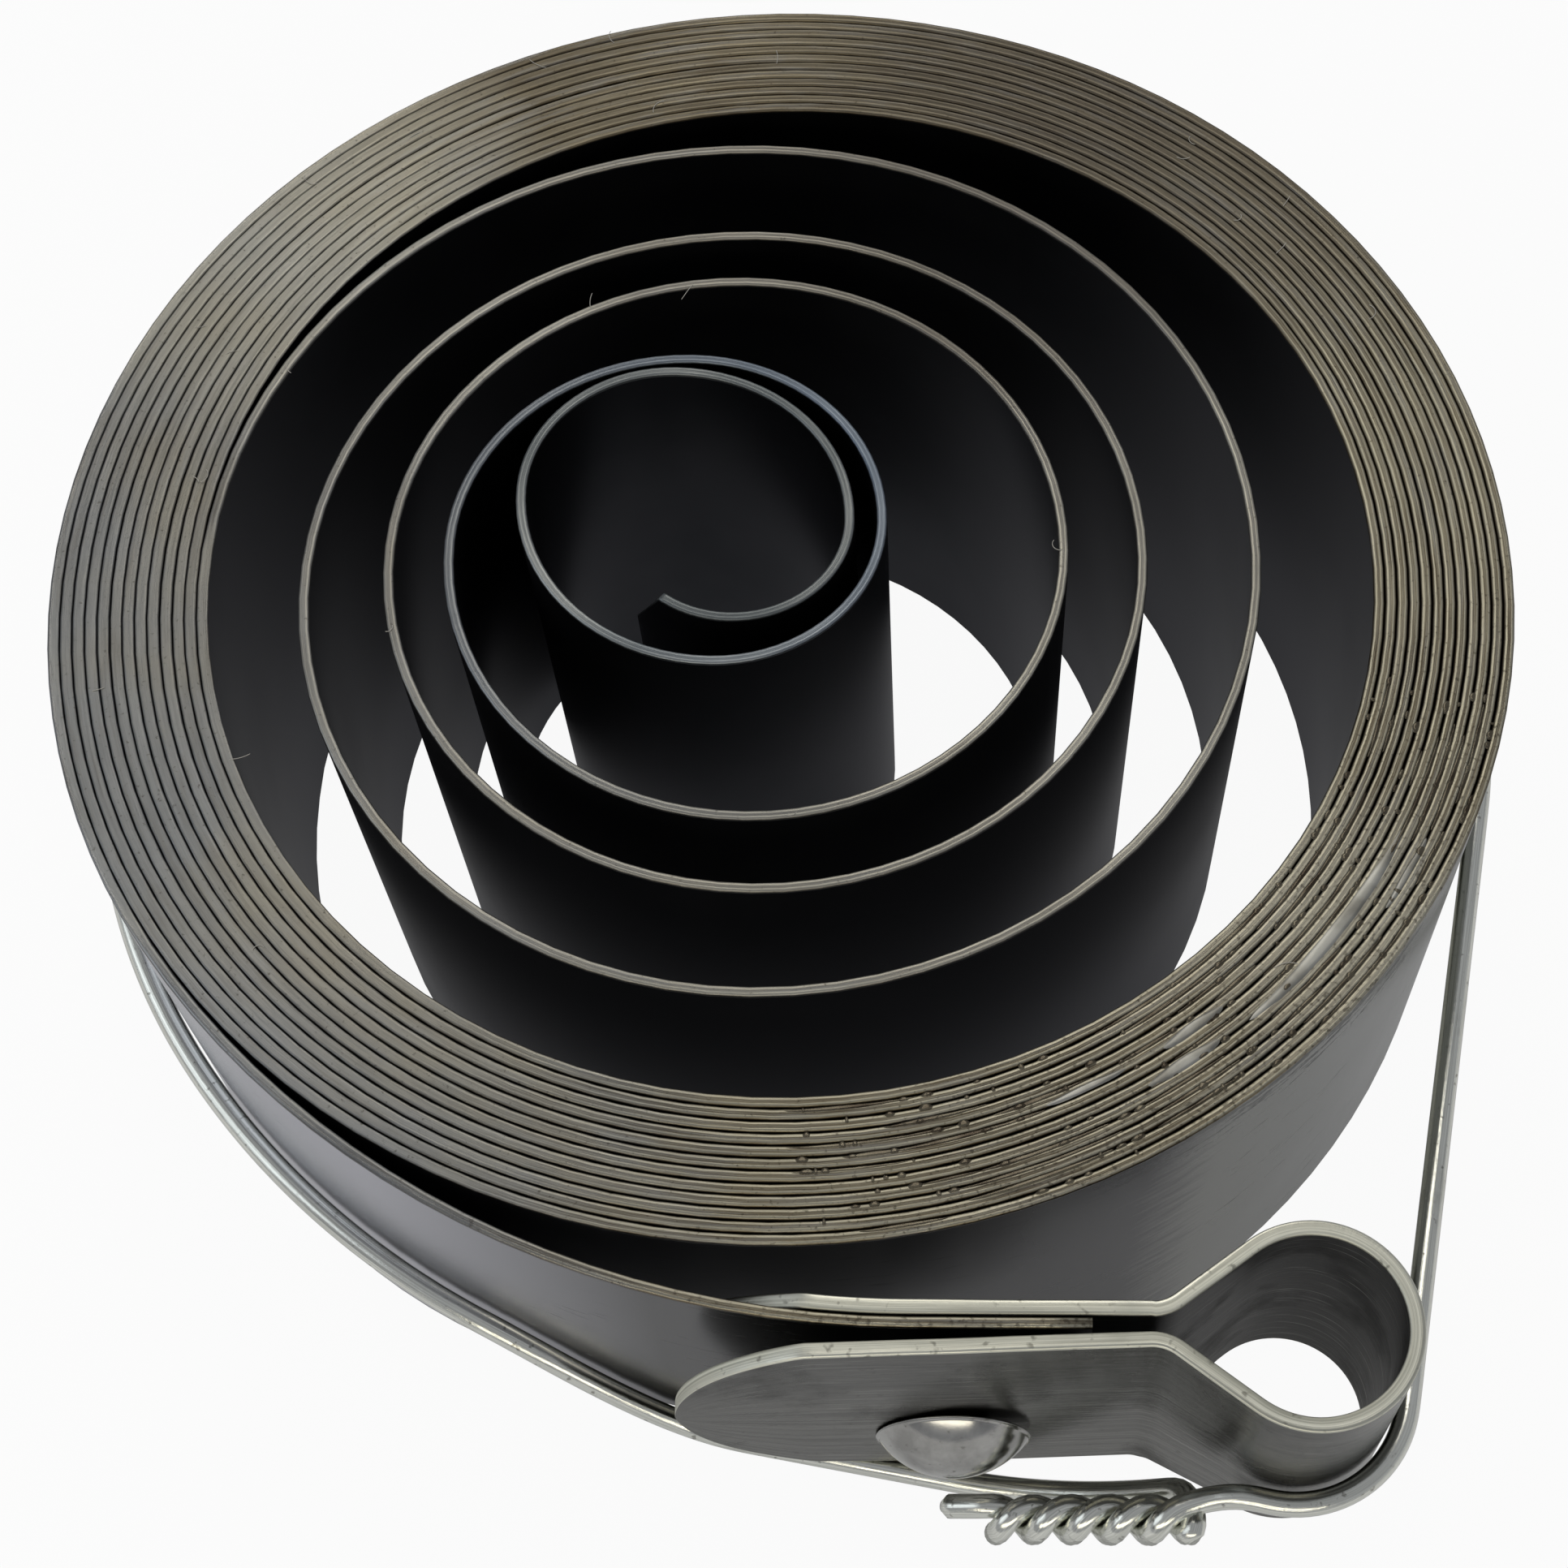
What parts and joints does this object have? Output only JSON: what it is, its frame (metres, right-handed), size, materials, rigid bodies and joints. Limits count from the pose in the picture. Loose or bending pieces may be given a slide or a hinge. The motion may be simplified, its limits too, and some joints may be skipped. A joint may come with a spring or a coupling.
{
  "type": "clock mainspring",
  "caption": "Wound steel clock mainspring: a flat strip in a spiral with an inner eye for the winding arbor and a riveted loop at its outer end, held closed by a tie of wire.",
  "frame": {"origin": "on the axis of the inner eye, at the middle of the strip's width", "axes": "+Z is the coil's axis and points up from the table, +X runs along the straight outer end towards the loop, and -Y faces the clip's riveted side"},
  "size_m": [0.055, 0.0616, 0.019],
  "materials": {
    "blued_strip": "polished, tempered dark, thin oil film",
    "bright_clip": "bright, brushed, worn edges",
    "rivet_steel": "bright with dark stains",
    "tie_wire": "drawn, bright"
  },
  "bodies": {
    "root": {"spring_strip": "blued_strip", "loop_clip": "bright_clip", "rivet": "rivet_steel", "binding_wire": "tie_wire"}
  },
  "joints": []
}
